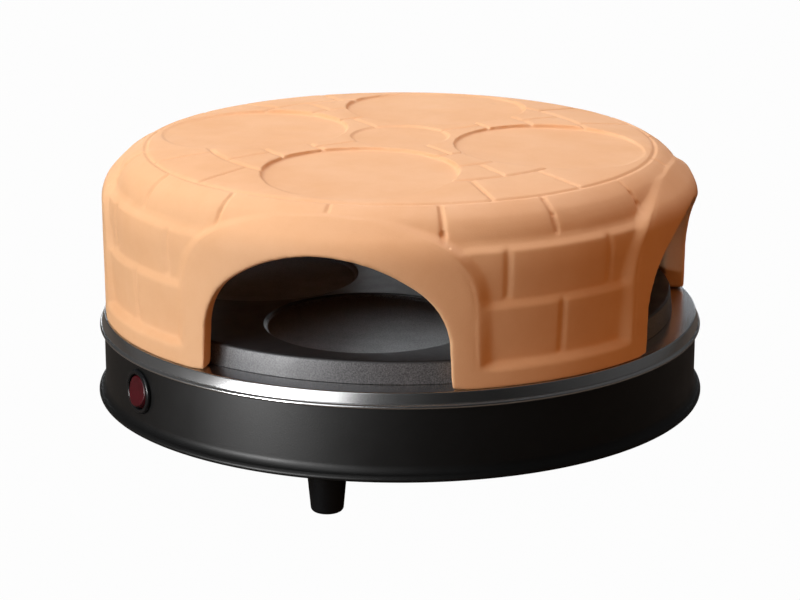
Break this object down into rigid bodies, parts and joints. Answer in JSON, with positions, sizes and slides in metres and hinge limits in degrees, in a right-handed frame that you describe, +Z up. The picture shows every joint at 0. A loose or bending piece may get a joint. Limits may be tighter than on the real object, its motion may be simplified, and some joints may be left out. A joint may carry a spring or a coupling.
{
  "type": "electric pizza maker",
  "caption": "Round electric tabletop pizza oven: heated black base with a steel rim, loose plate with round baking recesses and a lift-off brick-patterned terracotta dome with arched mouths.",
  "frame": {"origin": "on the axis of the drum and dome, at the underside of the feet", "axes": "+Z up along the axis of the drum; -Y out through the front mouth, the one to the right of the switch as it is faced; +X out through the right-hand mouth"},
  "size_m": [0.355, 0.355, 0.1733],
  "materials": {
    "terracotta": "matte unglazed fired clay",
    "plate_coating": "satin non-stick coating with fine speckles",
    "stainless": "polished stainless steel",
    "drum_black": "satin black enamel",
    "cover_black": "matte black paint",
    "foot_plastic": "glossy black",
    "zinc_steel": "zinc-plated steel",
    "element_steel": "heat-darkened steel tube",
    "porcelain": "unglazed white porcelain",
    "brass": "plain",
    "shield_aluminium": "rolled sheet",
    "cutout_black": "moulded phenolic",
    "block_cream": "moulded cream plastic",
    "lead_brown": "silicone insulation",
    "lead_black": "silicone insulation",
    "lead_blue": "silicone insulation",
    "lead_green": "silicone insulation",
    "switch_black": "glossy black",
    "rocker_red": "translucent dark red",
    "lamp_glass": "neon lamp",
    "gland_black": "moulded black"
  },
  "bodies": {
    "base": {"base_drum": "drum_black", "bottom_cover": "cover_black", "foot_front": "foot_plastic", "foot_right": "foot_plastic", "foot_left": "foot_plastic", "foot_screws": "zinc_steel", "support_posts": "zinc_steel", "steel_tray": "stainless", "heating_element": "element_steel", "element_brackets": "zinc_steel", "element_bushes": "porcelain", "element_nuts": "brass", "heat_shield": "shield_aluminium", "shield_spacers": "zinc_steel", "shield_nuts": "zinc_steel", "thermal_cutout": "cutout_black", "cutout_screws": "zinc_steel", "terminal_block": "block_cream", "terminal_screws": "brass", "earth_tag": "brass", "live_lead": "lead_brown", "switched_lead": "lead_black", "neutral_lead": "lead_blue", "earth_lead": "lead_green", "switch_housing": "switch_black", "switch_lamp": "lamp_glass", "switch_terminals": "brass", "cord_gland": "gland_black", "gland_nut": "gland_black"},
    "plate": {"baking_plate": "plate_coating"},
    "dome": {"terracotta_dome": "terracotta"},
    "rocker": {"switch_rocker": "rocker_red"}
  },
  "joints": [
    {"name": "dome_lift", "type": "slide", "parent": "base", "child": "dome", "axis": [0, 0, 1], "range_m": [0, 0.15]},
    {"name": "plate_lift", "type": "slide", "parent": "base", "child": "plate", "axis": [0, 0, 1], "range_m": [0, 0.04]},
    {"name": "switch_rock", "type": "hinge", "parent": "base", "child": "rocker", "pos_m": [-0.11603, -0.12751, 0.0485], "axis": [0.7396, -0.673, 0], "range_deg": [0, 16]}
  ]
}
